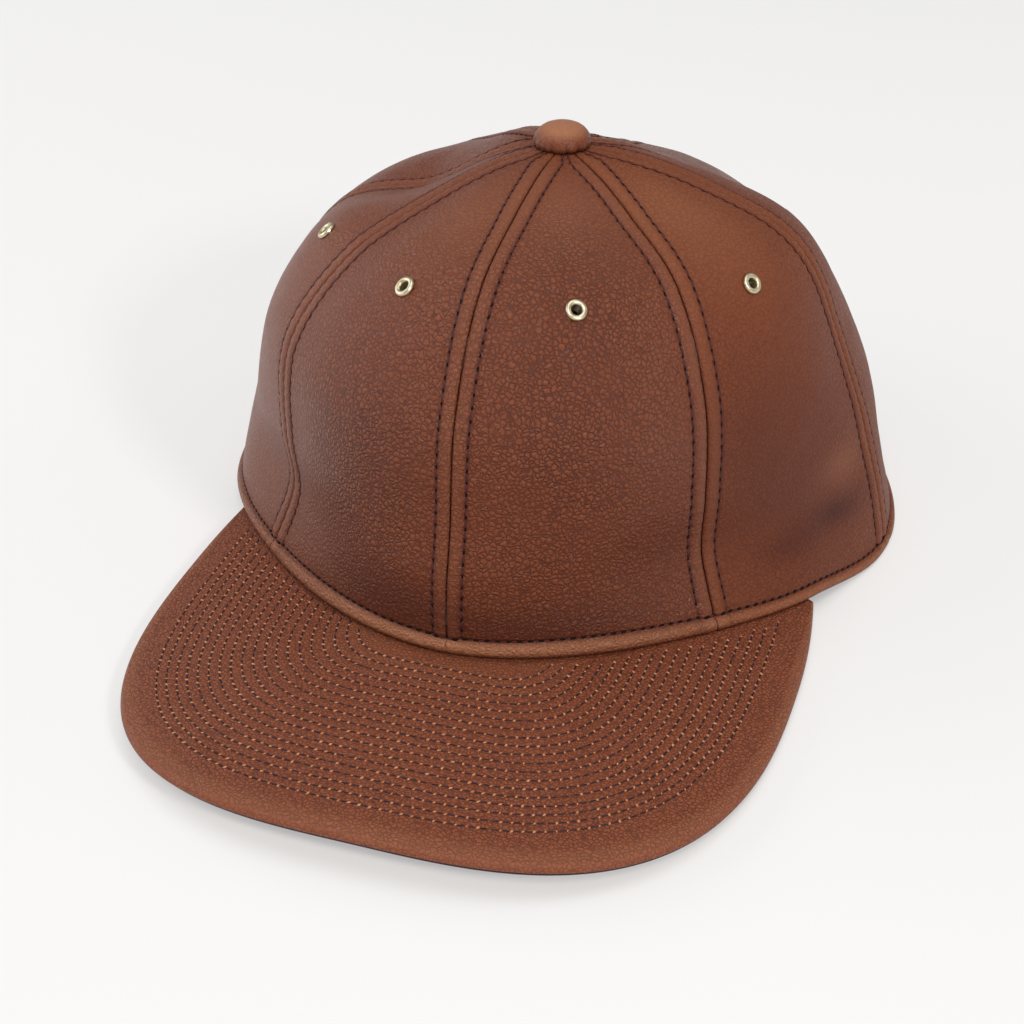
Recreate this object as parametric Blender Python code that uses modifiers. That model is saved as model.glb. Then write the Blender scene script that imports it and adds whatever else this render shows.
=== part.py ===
# Soft leather ball cap: eight crown panels, a stitched brim, a covered button and eight eyelets.
# Metres, +Z up. The brim points along -Y and the floor is at z = 0, under the head opening's centre.

import bmesh
import bpy
from math import acos, asin, cos, degrees, exp, pi, radians, sin
from mathutils import Matrix, Vector

# Crown
RIM_HALF_WIDTH = 0.089      # head opening, centre to side, before each seam's own reach
RIM_HALF_LENGTH = 0.0985    # head opening, centre to front or back
RIM_SQUARENESS = 1.89       # 2 is an ellipse, less is more pointed between the four quarters
CROWN_HEIGHT = 0.1065       # floor to the leather at the peak
PEAK_FORWARD = 0.015        # the peak lies this far ahead of the opening's centre
PEAK_HOLE_RISE = 86.8       # the panels stop at this rise, round the button's shank
LEATHER = 0.0018            # wall of a panel
PANEL_PUFF = 0.0014         # a panel's middle stands this far out between its seams
SEAM_GAP = 0.0003           # between two panels at their join
BAND_WIDTH = 0.0041         # raised band from the join to its topstitch
BAND_RAISE = 0.0007
JOIN_ROUND = 0.0011         # the band's edge rounds down to the join over this width
HEM_HEIGHT = 0.0056         # rolled hem along the bottom edge
HEM_BULGE = 0.0012
HEM_WALL = 0.0034
HEM_GROOVE = 0.0004         # the hem's stitch line is drawn in this far
HEM_SIDE_SHARE = 0.62       # the hem is lower at the sides and back, by this share of its front height
FOOT_PINCH = 0.018          # the foot is drawn in by this share, behind the brim's right end
FOOT_PINCH_TURN = 71
FOOT_PINCH_REACH = 9        # degrees to either side

# Brim
BRIM_LENGTH = 0.0675        # crown's front to the brim's tip
BRIM_HALF_WIDTH = 0.081
BRIM_FRONT_ARC = 0.0905     # from the widest place forward to the tip
BRIM_SQUARENESS = 2.75
BRIM_FRONT_SHARE = 0.78     # share of the edge's length, from the middle, that the front arc takes
BRIM_TUCK = 0.003           # the sides draw in this much on their way back to the crown
BRIM_LEAN = 0.0015          # the tip lies this far to the right of the middle
BRIM_END_TURN = 61.0        # the brim ends under the hem, this far round from the front
BRIM_ARCH = 0.0068          # the middle stands this much higher than the sides
BRIM_UPPER = 0.0027         # the top leather, with the rounded edge
BRIM_EDGE_ROLL = 0.003      # the top leather rounds over this close to the edge
BRIM_ROLL_MOST = 0.15       # and over no more than this share of the way in from it
BRIM_UNDER = 0.0010         # the leather beneath
BRIM_UNDER_INSET = 0.0012   # the under leather stops this far inside the edge
BRIM_FLOOR_GAP = 0.0002
BRIM_BITE = 0.0022          # the brim's inner edge reaches this far under the hem
BRIM_HALF_COLUMNS = 14      # columns of the brim's mesh from its middle to a side

# Trim
FIT_GAP = 0.0003            # between pieces that touch on the real cap
BUTTON_RADIUS = 0.0073
BUTTON_HEIGHT = 0.0052
SHANK_RADIUS = 0.0028
EYELET_RADIUS = 0.0026
EYELET_BORE = 0.00125
EYELET_BARREL = 0.0018      # outer radius of the barrel in its hole
EYELET_METAL = 0.0006
EYELET_BACK_GAP = 0.0009    # the back flange clears the curved leather by this much
EYELET_STEPS = 12
BUTTON_STEPS = 24

# Each seam of the crown, by its turn from the front. Reach scales the opening there, and the next
# five scale the seam's distance from the middle at 12, 22, 35, 50 and 66 degrees of rise: under 1
# is a hollow and over 1 a swelling. The left temple is pinched in above the hem. The last two
# place the eyelet of the panel that follows the seam: share of the panel's width, and rise.
SEAM_COLUMNS = ("turn", "reach", "foot", "waist", "belly", "shoulder", "crest", "eyelet", "eyelet_rise")
SWELL_COLUMNS = SEAM_COLUMNS[2:7]
SEAMS = [dict(zip(SEAM_COLUMNS, row)) for row in (
    (-180, 0.975, 1.00, 1.01, 1.03, 0.97, 0.92, 0.50, 44),
    (-130, 0.985, 0.94, 0.98, 1.02, 0.99, 0.965, 0.40, 46),
    (-84, 1.06, 0.975, 0.965, 0.985, 1.005, 0.93, 0.60, 49),
    (-43, 1.015, 0.93, 0.995, 1.085, 1.07, 1.015, 0.60, 49.5),
    (0, 1.05, 1.02, 1.035, 1.115, 1.14, 1.06, 0.46, 49),
    (43, 0.98, 0.915, 0.97, 1.06, 1.095, 1.03, 0.41, 48.7),
    (84, 1.015, 0.975, 0.97, 0.99, 1.053, 1.02, 0.70, 47.5),
    (130, 0.95, 0.915, 0.965, 0.985, 0.965, 0.95, 0.50, 36),
)]
RISES = (0, 12, 22, 35, 50, 66, 90)

# Profile of the rolled hem: height as a share of the hem's, and how far it stands out as a share
# of the bulge.
HEM_PROFILE = ((0.0, 0.15), (0.28, 0.85), (0.58, 1.0), (0.88, 0.55), (1.0, None), (1.35, 0.0))
PANEL_RISES = (8, 12, 16.5, 22, 28, 35, 42, 49, 56, 63, 70, 76.5, 82)


def hermite(xs, ys, x, end_slope=None):
    """Smooth curve through the points, read at x."""
    last = len(xs) - 1
    i = max(k for k in range(last) if x >= xs[k] or k == 0)

    def slope(k):
        if k == last and end_slope is not None:
            return end_slope
        low, high = max(k - 1, 0), min(k + 1, last)
        return (ys[high] - ys[low]) / (xs[high] - xs[low])

    span = xs[i + 1] - xs[i]
    t = (x - xs[i]) / span
    return (ys[i] * (1 + 2 * t) * (1 - t) ** 2 + ys[i + 1] * t * t * (3 - 2 * t)
            + slope(i) * span * t * (1 - t) ** 2 - slope(i + 1) * span * t * t * (1 - t))


def smoothstep(low, high, x):
    t = min(max((x - low) / (high - low), 0.0), 1.0)
    return t * t * (3 - 2 * t)


def power(value, exponent):
    return (1 if value >= 0 else -1) * abs(value) ** exponent


def wrapped(turn):
    return (turn + 180) % 360 - 180


def around(column, turn):
    """A column of the seam table, read smoothly at any turn."""
    rows = [(SEAMS[k % 8]["turn"] + 360 * (k // 8), SEAMS[k % 8][column]) for k in range(-2, 11)]
    return hermite([row[0] for row in rows], [row[1] for row in rows], wrapped(turn))


def swell(turn, rise):
    shares = [1.0] + [around(column, turn) for column in SWELL_COLUMNS] + [1.0]
    return hermite(RISES, shares, rise, end_slope=0.0)


def rim_point(turn):
    """Foot of the crown's outer surface, in plan."""
    bend = 2 / RIM_SQUARENESS
    reach = around("reach", turn)
    angle = radians(turn)
    return Vector((RIM_HALF_WIDTH * reach * power(sin(angle), bend),
                   -RIM_HALF_LENGTH * reach * power(cos(angle), bend), 0))


def brim_top(x):
    arch = BRIM_ARCH * (1 - (x / BRIM_HALF_WIDTH) ** 2)
    return BRIM_FLOOR_GAP + BRIM_UNDER + FIT_GAP + BRIM_UPPER + arch


def seat(x, turn):
    """Height of the crown's bottom edge: on the brim at the front, and on the floor behind it."""
    on_brim = 1 - smoothstep(BRIM_END_TURN + 1, BRIM_END_TURN + 20, abs(wrapped(turn)))
    return on_brim * (brim_top(x) + FIT_GAP)


def crown_point(turn, rise):
    foot = rim_point(turn)
    pinch = FOOT_PINCH * exp(-((wrapped(turn) - FOOT_PINCH_TURN) / FOOT_PINCH_REACH) ** 2)
    share = swell(turn, rise) * (1 - pinch * (1 - smoothstep(0, 34, rise)))
    inward = share * cos(radians(rise))
    climb = seat(foot.x, turn) * (1 - sin(radians(rise))) ** 1.5
    return Vector((foot.x * inward, foot.y * inward - PEAK_FORWARD * (1 - inward),
                   climb + CROWN_HEIGHT * share * sin(radians(rise))))


def crown_normal(turn, rise):
    step = 0.4
    across = crown_point(turn + step, rise) - crown_point(turn - step, rise)
    low, high = max(rise - step, 0), min(rise + step, 89.9)
    upward = crown_point(turn, high) - crown_point(turn, low)
    normal = across.cross(upward)
    normal.z *= min(1, rise / 8)
    return normal.normalized()


def hem_scale(turn):
    return 1 + (HEM_SIDE_SHARE - 1) * smoothstep(14, 58, abs(wrapped(turn)))


def lowered(turn, rise):
    """A row's rise at a turn: the hem's rows come down with the hem, and the rows above even out."""
    scale = hem_scale(turn)
    return rise * (scale + (1 - scale) * smoothstep(0, 16, rise))


def panel_turn(panel, share):
    first = SEAMS[panel]["turn"]
    return first + (SEAMS[(panel + 1) % 8]["turn"] - first) % 360 * share


def panel_point(panel, share, rise, out):
    """A point of a panel, share of its width from one seam to the next, out from its surface."""
    turn = panel_turn(panel, share)
    puff = PANEL_PUFF * sin(pi * share) * sin(radians(2 * rise))
    return crown_point(turn, rise) + crown_normal(turn, rise) * (puff + out)


def panel_width(panel, rise):
    return (panel_point(panel, 1, rise, 0) - panel_point(panel, 0, rise, 0)).length


def panel_columns(width):
    """(share, raise share) across a panel: join, shoulder, band, field and back again."""
    half = [
        (SEAM_GAP / 2 / width, 0.3),
        (min(JOIN_ROUND / width, 0.12), 1.0),
        (min(BAND_WIDTH * 0.9 / width, 0.30), 1.0),
        (min(BAND_WIDTH * 1.2 / width, 0.36), 0.0),
    ]
    field = half[-1][0]
    middle = [(field + (1 - 2 * field) * k / 4, 0.0) for k in (1, 2, 3)]
    return half + middle + [(1 - share, lift) for share, lift in reversed(half)]


def panel_rows():
    """(rise, bulge, wall) from the hem's foot to the peak."""
    rows = []
    for height, bulge in HEM_PROFILE:
        out = -HEM_GROOVE if bulge is None else HEM_BULGE * bulge
        wall = HEM_WALL if height < 1 else LEATHER
        rows.append((degrees(asin(height * HEM_HEIGHT / CROWN_HEIGHT)), out, wall))
    return rows + [(rise, 0.0, LEATHER) for rise in PANEL_RISES + (PEAK_HOLE_RISE,)]


def shell(name, outer, inner):
    """One closed body between two grids of points, both ordered the same way."""
    bm = bmesh.new()
    skins = [[[bm.verts.new(point) for point in column] for column in grid] for grid in (outer, inner)]
    columns, rows = len(outer), len(outer[0])
    for skin in skins:
        for i in range(columns - 1):
            for j in range(rows - 1):
                bm.faces.new((skin[i][j], skin[i + 1][j], skin[i + 1][j + 1], skin[i][j + 1]))
    border = [(i, 0) for i in range(columns - 1)] + [(columns - 1, j) for j in range(rows - 1)]
    border += [(i, rows - 1) for i in range(columns - 1, 0, -1)] + [(0, j) for j in range(rows - 1, 0, -1)]
    for (i, j), (k, l) in zip(border, border[1:] + border[:1]):
        bm.faces.new((skins[0][i][j], skins[1][i][j], skins[1][k][l], skins[0][k][l]))
    bmesh.ops.recalc_face_normals(bm, faces=bm.faces)
    mesh = bpy.data.meshes.new(name)
    bm.to_mesh(mesh)
    bm.free()
    mesh.shade_smooth()
    mesh.set_sharp_from_angle(angle=radians(50))
    return bpy.data.objects.new(name, mesh)


def turned(name, profile, steps):
    """A closed profile of (radius, height) points turned about its own Z axis."""
    mesh = bpy.data.meshes.new(name)
    edges = [(i, i + 1) for i in range(len(profile) - 1)]
    if profile[0][0] > 0:
        edges.append((len(profile) - 1, 0))
    mesh.from_pydata([(radius, 0, height) for radius, height in profile], edges, [])
    obj = bpy.data.objects.new(name, mesh)
    screw = obj.modifiers.new("turn", "SCREW")
    screw.steps = screw.render_steps = steps
    screw.use_merge_vertices = True
    screw.merge_threshold = 0.00001
    return obj


def crown_panel(panel):
    outer, inner = [], []
    rows = panel_rows()
    shapes = [panel_columns(panel_width(panel, rise)) for rise, out, wall in rows]
    for i in range(len(shapes[0])):
        outer_column, inner_column = [], []
        for j, (rise, out, wall) in enumerate(rows):
            share, lift = shapes[j][i]
            turn = panel_turn(panel, share)
            level = lowered(turn, rise)
            raised = 0.0 if out else BAND_RAISE * lift * min(1, (90 - rise) / 14)
            bulge = out * (0.4 + 0.6 * hem_scale(turn))
            points = [panel_point(panel, share, level, bulge + raised),
                      panel_point(panel, share, level, -wall)]
            if j == 0:
                for point in points:
                    point.z = seat(point.x, turn)
            outer_column.append(points[0])
            inner_column.append(points[1])
        outer.append(outer_column)
        inner.append(inner_column)
    return shell(f"crown_panel_{panel + 1}", outer, inner)


def brim_outline(place):
    """The brim's edge in plan, from its left end (place -1) to its right end (place 1)."""
    tip = rim_point(0).y - BRIM_LENGTH
    widest = tip + BRIM_FRONT_ARC
    end = rim_point(BRIM_END_TURN).y
    side = 1 if place >= 0 else -1
    if abs(place) <= BRIM_FRONT_SHARE:
        angle = pi / 2 * abs(place) / BRIM_FRONT_SHARE
        x = BRIM_HALF_WIDTH * power(sin(angle), 2 / BRIM_SQUARENESS)
        y = widest - BRIM_FRONT_ARC * power(cos(angle), 2 / BRIM_SQUARENESS)
    else:
        back = (abs(place) - BRIM_FRONT_SHARE) / (1 - BRIM_FRONT_SHARE)
        x = BRIM_HALF_WIDTH - BRIM_TUCK * back ** 2
        y = widest + (end - widest) * back
    return Vector((side * x + BRIM_LEAN * (end - y) / (end - tip), y, 0))


def brim_column(place, rows):
    """Points across the brim, from under the hem to the edge. A row is (share left, inset, drop)."""
    hem = rim_point(BRIM_END_TURN * place)
    inner = hem - hem.normalized() * BRIM_BITE
    edge = brim_outline(place)
    reach = (edge - inner).length
    column = []
    for share_left, inset, drop in rows:
        point = edge.lerp(inner, share_left + inset * min(1 / reach, BRIM_ROLL_MOST / BRIM_EDGE_ROLL))
        point.z = brim_top(point.x) - drop
        column.append(point)
    return column


def brim_layer(name, top_rows, bottom_rows):
    places = [k / BRIM_HALF_COLUMNS for k in range(-BRIM_HALF_COLUMNS, BRIM_HALF_COLUMNS + 1)]
    return shell(name, [brim_column(place, top_rows) for place in places],
                 [brim_column(place, bottom_rows) for place in places])


def brim_upper():
    across = [(share, 0, 0) for share in (1, 0.8, 0.6, 0.4, 0.2)]
    edge = ((1, 0), (0.43, 0.06), (0.13, 0.28), (0, 0.58))
    under_edge = ((1, 1), (0.6, 1), (0.3, 0.97), (0.1, 0.85))
    top = across + [(0, inset * BRIM_EDGE_ROLL, drop * BRIM_UPPER) for inset, drop in edge]
    bottom = [(share, 0, BRIM_UPPER) for share, _, _ in across]
    bottom += [(0, inset * BRIM_EDGE_ROLL, drop * BRIM_UPPER) for inset, drop in under_edge]
    return brim_layer("brim_upper", top, bottom)


def brim_under():
    top_drop = BRIM_UPPER + FIT_GAP
    bottom_drop = top_drop + BRIM_UNDER
    across = (1, 0.8, 0.6, 0.4, 0.2)
    top = [(share, 0, top_drop) for share in across] + [(0, BRIM_UNDER_INSET, top_drop)]
    bottom = [(share, 0, bottom_drop) for share in across]
    bottom += [(0, BRIM_UNDER_INSET + BRIM_UNDER / 3, bottom_drop)]
    return brim_layer("brim_under", top, bottom)


def button():
    rim_rise = degrees(acos(BUTTON_RADIUS / RIM_HALF_WIDTH))
    leather_top = max(crown_point(seam["turn"], rise).z for seam in SEAMS
                      for rise in (rim_rise, PEAK_HOLE_RISE, 90))
    dome = ((0, 1), (0.3, 0.975), (0.56, 0.88), (0.77, 0.7), (0.92, 0.44), (1, 0.16), (0.97, 0))
    profile = [(BUTTON_RADIUS * radius, BUTTON_HEIGHT * height) for radius, height in dome]
    foot = -(FIT_GAP + LEATHER + BAND_RAISE)
    profile += [(SHANK_RADIUS, 0), (SHANK_RADIUS, foot), (0, foot)]
    obj = turned("button", profile, BUTTON_STEPS)
    obj.location = (0, -PEAK_FORWARD, leather_top + BAND_RAISE / 4 + FIT_GAP)
    return obj


def eyelet_place(panel):
    """Where a panel's eyelet sits, with its own Z axis out of the leather."""
    share, rise = SEAMS[panel]["eyelet"], SEAMS[panel]["eyelet_rise"]
    seat_point = panel_point(panel, share, rise, 0)
    normal = (panel_point(panel, share, rise, 0.01) - seat_point).normalized()
    return Matrix.Translation(seat_point) @ normal.to_track_quat("Z", "Y").to_matrix().to_4x4()


def eyelet(panel):
    top = FIT_GAP + EYELET_METAL
    back = -LEATHER - EYELET_BACK_GAP
    back_radius = (EYELET_BARREL + EYELET_RADIUS) / 2
    profile = (
        (EYELET_BORE, FIT_GAP), (EYELET_BORE + EYELET_METAL * 0.4, top * 0.9),
        ((EYELET_BORE + EYELET_RADIUS) / 2, top), (EYELET_RADIUS - EYELET_METAL * 0.5, top * 0.9),
        (EYELET_RADIUS, FIT_GAP + EYELET_METAL * 0.2), (EYELET_RADIUS - EYELET_METAL * 0.2, FIT_GAP),
        (EYELET_BARREL, FIT_GAP), (EYELET_BARREL, back), (back_radius, back),
        (back_radius, back - EYELET_METAL), (EYELET_BORE, back - EYELET_METAL),
    )
    obj = turned(f"eyelet_{panel + 1}", profile, EYELET_STEPS)
    obj.matrix_world = eyelet_place(panel)
    return obj


def punch(panel, piece):
    """The eyelet's hole through its panel."""
    bm = bmesh.new()
    radius = EYELET_BARREL + FIT_GAP
    bmesh.ops.create_cone(bm, cap_ends=True, segments=EYELET_STEPS, radius1=radius, radius2=radius,
                          depth=LEATHER * 6)
    mesh = bpy.data.meshes.new(f"punch_{panel + 1}")
    bm.to_mesh(mesh)
    bm.free()
    cutter = bpy.data.objects.new(mesh.name, mesh)
    cutter.matrix_world = eyelet_place(panel)
    cutter.hide_render = True
    cutter.display_type = "WIRE"
    hole = piece.modifiers.new("eyelet hole", "BOOLEAN")
    hole.operation = "DIFFERENCE"
    hole.solver = "EXACT"
    hole.object = cutter
    return cutter


def material(name, colour, roughness, metallic=0.0):
    made = bpy.data.materials.new(name)
    made.use_nodes = True
    shader = made.node_tree.nodes["Principled BSDF"]
    shader.inputs["Base Color"].default_value = (*colour, 1)
    shader.inputs["Roughness"].default_value = roughness
    shader.inputs["Metallic"].default_value = metallic
    return made


def collection(name):
    made = bpy.data.collections.new(name)
    bpy.context.scene.collection.children.link(made)
    return made


def add(obj, home, parent, surface=None):
    home.objects.link(obj)
    obj.parent = parent
    if surface:
        obj.data.materials.append(surface)


def main():
    for obj in list(bpy.data.objects):
        bpy.data.objects.remove(obj)

    home = collection("leather_cap")
    cutters = collection("cutters")
    stand = bpy.data.objects.new("stand", None)
    home.objects.link(stand)

    crown_leather = material("crown_leather", (0.23, 0.075, 0.035), 0.42)
    brim_leather = material("brim_leather", (0.25, 0.085, 0.04), 0.48)
    under_leather = material("under_leather", (0.11, 0.04, 0.025), 0.6)
    button_leather = material("button_leather", (0.22, 0.07, 0.035), 0.45)
    pale_brass = material("pale_brass", (0.62, 0.52, 0.36), 0.35, 1.0)

    for panel in range(len(SEAMS)):
        piece = crown_panel(panel)
        add(piece, home, stand, crown_leather)
        add(punch(panel, piece), cutters, stand)
        add(eyelet(panel), home, stand, pale_brass)
    add(brim_upper(), home, stand, brim_leather)
    add(brim_under(), home, stand, under_leather)
    add(button(), home, stand, button_leather)

    # The origin is on the floor, under the middle of the whole cap's box.
    corners = [vertex.co for obj in home.objects if obj.name.startswith(("crown", "brim"))
               for vertex in obj.data.vertices]
    for axis in (0, 1):
        places = [corner[axis] for corner in corners]
        stand.location[axis] = -(min(places) + max(places)) / 2


main()
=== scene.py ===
# Soft leather ball cap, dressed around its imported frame. Metres, +Z up, and the brim points along -Y.
import bmesh
import bpy
import random
from math import asin, atan2, cos, degrees, exp, hypot, pi, radians, sin
from mathutils import Matrix, Vector, noise


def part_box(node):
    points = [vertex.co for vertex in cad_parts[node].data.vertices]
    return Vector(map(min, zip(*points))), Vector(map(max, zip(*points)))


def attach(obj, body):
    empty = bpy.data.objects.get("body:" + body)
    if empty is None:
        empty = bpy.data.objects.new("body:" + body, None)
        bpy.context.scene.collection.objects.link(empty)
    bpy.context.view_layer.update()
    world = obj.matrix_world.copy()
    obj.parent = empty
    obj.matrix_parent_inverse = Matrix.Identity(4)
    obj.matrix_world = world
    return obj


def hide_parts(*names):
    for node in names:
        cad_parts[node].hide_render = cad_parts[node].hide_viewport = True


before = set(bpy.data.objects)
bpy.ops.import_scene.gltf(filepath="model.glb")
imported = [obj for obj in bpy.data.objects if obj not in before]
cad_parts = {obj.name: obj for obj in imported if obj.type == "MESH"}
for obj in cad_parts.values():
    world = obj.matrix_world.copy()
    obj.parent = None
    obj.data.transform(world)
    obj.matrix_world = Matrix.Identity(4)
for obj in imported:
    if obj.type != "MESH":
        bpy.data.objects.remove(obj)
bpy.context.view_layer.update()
scene = bpy.context.scene
mm = 0.001

# camera, light and floor
view = {
    "position": (0.1434, -0.4403, 0.3111),
    "target": (-0.0162, 0.0369, -0.0157),
    "lens": 72.8,             # mm on a 36 mm sensor
}
studio = {
    "air": (0.26, "F6F7FA"),                  # strength and colour of the light from all round
    "floor": ("C2C2C2", 0.385),               # a glowing table: its colour, and how strongly it glows, painted light that lifts the cast shadows
    "footprint": (0.070, 0.088),              # it does not glow under the crown, painted shade there: inner and outer radius
    "footprintMiddle": (0.002, 0.037, 0),
    # name: place, aimed at, width, length, watts, colour
    "lights": {
        "overhead": ((0.05, 0.10, 2.10), (0, 0, 0.05), 1.6, 1.6, 13.5, "FFFFFF"),
        "leftWindow": ((-1.30, -0.10, 0.52), (0, 0, 0.06), 1.9, 0.5, 8.0, "FFFFFF"),
        "front": ((0.25, -1.50, 1.85), (0, -0.02, 0.05), 0.55, 0.55, 17.0, "FFF8F0"),
        "rightFront": ((1.02, -0.80, 0.86), (0, -0.02, 0.07), 0.22, 0.22, 7.0, "FFFAF4"),
        "rightBack": ((1.15, 0.75, 0.75), (0, 0, 0.06), 0.5, 0.8, 1.3, "FFFFFF"),
    },
}


def linear(code, alpha=1.0):
    # an sRGB hex colour, as the linear values that nodes take
    parts = [int(code[k:k + 2], 16) / 255 for k in (0, 2, 4)]
    return tuple(p / 12.92 if p <= 0.04045 else ((p + 0.055) / 1.055) ** 2.4 for p in parts) + (alpha,)


def addNode(tree, kind, settings=None, links=None, **properties):
    # one node, with its settings, the sockets that feed it and its own properties
    node = tree.nodes.new("ShaderNode" + kind)
    for name, value in properties.items():
        setattr(node, name, value)
    for socket, value in (settings or {}).items():
        node.inputs[socket].default_value = value
    for socket, source in (links or {}).items():
        tree.links.new(source, node.inputs[socket])
    return node


camera = bpy.data.objects.new("camera", bpy.data.cameras.new("camera"))
scene.collection.objects.link(camera)
camera.data.lens = view["lens"]
camera.data.sensor_width = 36.0
camera.data.clip_start = 0.01
camera.location = view["position"]
camera.rotation_euler = (Vector(view["target"]) - camera.location).to_track_quat("-Z", "Y").to_euler()
scene.camera = camera
scene.view_settings.view_transform = "Standard"

for name, (place, aim, width, length, watts, colour) in studio["lights"].items():
    lamp = bpy.data.lights.new(name, "AREA")
    lamp.shape = "RECTANGLE"
    lamp.size, lamp.size_y = width, length
    lamp.energy = watts
    lamp.color = linear(colour)[:3]
    light = bpy.data.objects.new(name, lamp)
    scene.collection.objects.link(light)
    light.location = place
    light.rotation_euler = (Vector(aim) - light.location).to_track_quat("-Z", "Y").to_euler()

air = bpy.data.worlds.new("studioAir")
air.use_nodes = True
air.node_tree.nodes["Background"].inputs["Color"].default_value = linear(studio["air"][1])
air.node_tree.nodes["Background"].inputs["Strength"].default_value = studio["air"][0]
scene.world = air

table = bpy.data.materials.new("glowingTable")           # matt sheet that glows: painted light that lifts the shadows around the cap, kept dark under the crown
table.use_nodes = True
sheet = table.node_tree.nodes["Principled BSDF"]
sheet.inputs["Base Color"].default_value = linear(studio["floor"][0])
sheet.inputs["Roughness"].default_value = 1.0
sheet.inputs["Specular IOR Level"].default_value = 0.0
sheet.inputs["Emission Color"].default_value = linear("FFFFFF")
fromCrown = addNode(table.node_tree, "VectorMath", {1: studio["footprintMiddle"]},
                    {0: addNode(table.node_tree, "TexCoord").outputs["Object"]}, operation="DISTANCE")
glow = addNode(table.node_tree, "MapRange", {"From Min": studio["footprint"][0], "From Max": studio["footprint"][1],
                                             "To Max": studio["floor"][1]}, {"Value": fromCrown.outputs["Value"]})
table.node_tree.links.new(glow.outputs[0], sheet.inputs["Emission Strength"])
bm = bmesh.new()
bmesh.ops.create_grid(bm, x_segments=2, y_segments=2, size=6)
floorMesh = bpy.data.meshes.new("floor")
bm.to_mesh(floorMesh)
bm.free()
floor = bpy.data.objects.new("floor", floorMesh)
floor.data.materials.append(table)
scene.collection.objects.link(floor)
print("camera, lights and floor")

# the cap's shape, as the frame has it
crown = {
    "halfWidth": 0.089, "halfLength": 0.0985, "squareness": 1.89,    # head opening
    "height": 0.1065, "peakForward": 0.015, "holeRise": 86.8,
    "leather": 0.0018, "puff": 0.0014, "bandRaise": 0.00055,
    "hemHeight": 0.0056, "hemBulge": 0.0014, "hemWall": 0.0034,
    "hemSides": 0.62,         # the hem's height at the sides and back, as a share of the front's
    "pinch": (0.018, 71, 9),  # the foot is drawn in behind the brim's right end: how much, where, how wide
    "rowStep": 0.42,          # degrees of rise from one row of the mesh to the next
    "fieldColumns": 34,       # columns between the two seam bands of a panel
    "stitch": 0.0030,         # topstitch length, hole to hole
    "pucker": 0.00016,        # the leather swells this much between two holes
    "wave": 0.00025,          # soft unevenness of the leather
    "eyeletCut": 0.0019,      # faces of the leather nearer than this to an eyelet's middle go
    "eyeletHole": 0.0020,     # radius of the round hole that is left
}
seamColumns = ("turn", "reach", "foot", "waist", "belly", "shoulder", "crest", "eyelet", "eyeletRise")
seams = [dict(zip(seamColumns, row)) for row in (
    (-180, 0.975, 1.00, 1.01, 1.03, 0.97, 0.92, 0.50, 44),
    (-130, 0.985, 0.94, 0.98, 1.02, 0.99, 0.965, 0.40, 46),
    (-84, 1.06, 0.975, 0.965, 0.985, 1.005, 0.93, 0.60, 49),
    (-43, 1.015, 0.93, 0.995, 1.085, 1.07, 1.015, 0.60, 49.5),
    (0, 1.05, 1.02, 1.035, 1.115, 1.14, 1.06, 0.46, 49),
    (43, 0.98, 0.915, 0.97, 1.06, 1.095, 1.03, 0.41, 48.7),
    (84, 1.015, 0.975, 0.97, 0.99, 1.053, 1.02, 0.70, 47.5),
    (130, 0.95, 0.915, 0.965, 0.985, 0.965, 0.95, 0.50, 36),
)]
swellRises = (0, 12, 22, 35, 50, 66, 90)
brim = {
    "length": 0.0675, "halfWidth": 0.081, "frontArc": 0.0905, "squareness": 2.75, "frontShare": 0.78,
    "tuck": 0.003, "lean": 0.0015, "endTurn": 61.0, "arch": 0.0068, "upper": 0.0027, "edgeRoll": 0.003,
    "rollMost": 0.15, "under": 0.0010, "underInset": 0.0012, "floorGap": 0.0002, "bite": 0.0022,
    "fit": 0.0003,
    "places": 300,            # columns of the top's mesh, end to end
    "across": 112,            # rows of it, crown to edge
    "quilt": 0.00012,         # depth of the channels that the stitch rows draw in
    "wave": 0.0002,           # soft unevenness of the top
}
buttonLow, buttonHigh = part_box("button")
openingCentre = Vector(((buttonLow.x + buttonHigh.x) / 2, (buttonLow.y + buttonHigh.y) / 2 + crown["peakForward"], 0))


def readCurve(xs, ys, x, endSlope=None):
    # a smooth curve through the points, read at x
    last = len(xs) - 1
    i = 0
    while i < last - 1 and x >= xs[i + 1]:
        i += 1

    def slope(k):
        if k == last and endSlope is not None:
            return endSlope
        low, high = max(k - 1, 0), min(k + 1, last)
        return (ys[high] - ys[low]) / (xs[high] - xs[low])

    span = xs[i + 1] - xs[i]
    t = (x - xs[i]) / span
    return (ys[i] * (1 + 2 * t) * (1 - t) ** 2 + ys[i + 1] * t * t * (3 - 2 * t)
            + slope(i) * span * t * (1 - t) ** 2 - slope(i + 1) * span * t * t * (1 - t))


def ease(low, high, x):
    t = min(max((x - low) / (high - low), 0.0), 1.0)
    return t * t * (3 - 2 * t)


def bent(value, exponent):
    return (1 if value >= 0 else -1) * abs(value) ** exponent


wideTurns = [seams[k % 8]["turn"] + 360 * (k // 8) for k in range(-2, 11)]
wideColumns = {name: [seams[k % 8][name] for k in range(-2, 11)] for name in seamColumns[1:7]}


def aroundCrown(name, turn):
    return readCurve(wideTurns, wideColumns[name], (turn + 180) % 360 - 180)


def rimPoint(turn):
    bend = 2 / crown["squareness"]
    reach = aroundCrown("reach", turn)
    return Vector((crown["halfWidth"] * reach * bent(sin(radians(turn)), bend),
                   -crown["halfLength"] * reach * bent(cos(radians(turn)), bend), 0))


def brimTop(x):
    arch = brim["arch"] * (1 - (x / brim["halfWidth"]) ** 2)
    return brim["floorGap"] + brim["under"] + brim["fit"] + brim["upper"] + arch


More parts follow.
